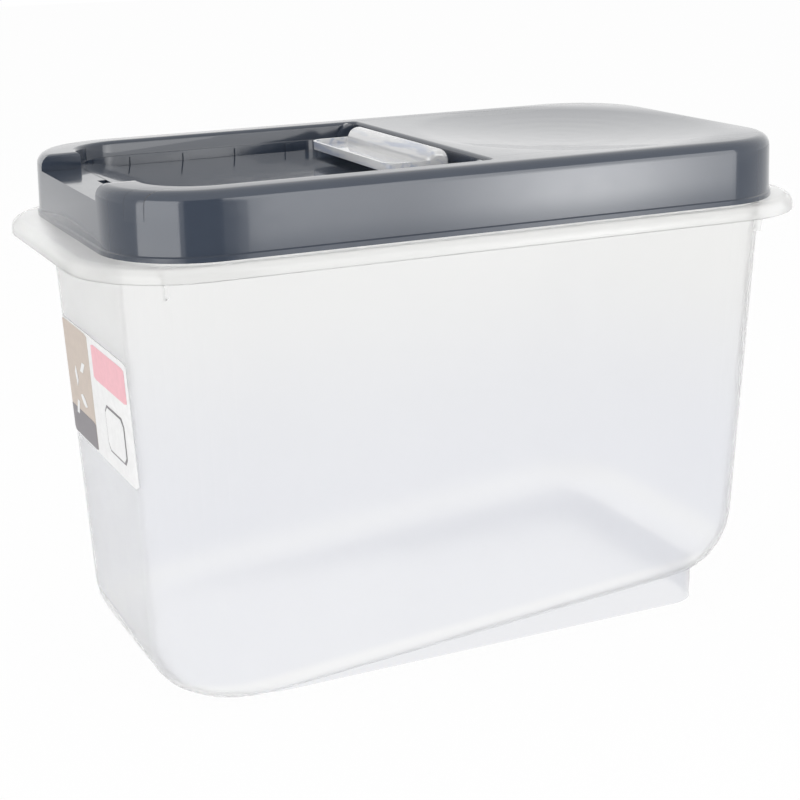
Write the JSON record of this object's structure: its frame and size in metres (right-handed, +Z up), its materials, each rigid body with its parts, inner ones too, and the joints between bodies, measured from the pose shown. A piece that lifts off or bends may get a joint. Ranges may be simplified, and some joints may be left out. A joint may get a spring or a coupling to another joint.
{
  "type": "rice storage bin with flip lid",
  "caption": "Tall translucent storage bin with a sloping floor and foot, rim handles, and a glossy grey lid with a sunken flip-up pouring hatch and a clear scoop stowed on it.",
  "frame": {"origin": "middle of the bounding box on the standing plane", "axes": "+X along the bin towards its closed end, the pouring notch is at -X; +Y across the bin; +Z up"},
  "size_m": [0.4214, 0.2276, 0.2791],
  "materials": {
    "clear_tub": "translucent, softly glossy polypropylene",
    "grey_lid": "glossy slate grey",
    "clear_scoop": "clear, glossy"
  },
  "bodies": {
    "tub": {"tub": "clear_tub"},
    "lid": {"lid_frame": "grey_lid"},
    "hatch": {"flip_hatch": "grey_lid"},
    "scoop": {"scoop": "clear_scoop"}
  },
  "joints": [
    {"name": "lid_lift", "type": "slide", "parent": "tub", "child": "lid", "axis": [0, 0, 1], "range_m": [0, 0.12]},
    {"name": "hatch_hinge", "type": "hinge", "parent": "lid", "child": "hatch", "pos_m": [0.0025, 0, 0.2728], "axis": [0, 1, 0], "range_deg": [0, 100]},
    {"name": "scoop_lift", "type": "slide", "parent": "hatch", "child": "scoop", "axis": [-0.7071, 0, 0.7071], "range_m": [0, 0.08]}
  ]
}
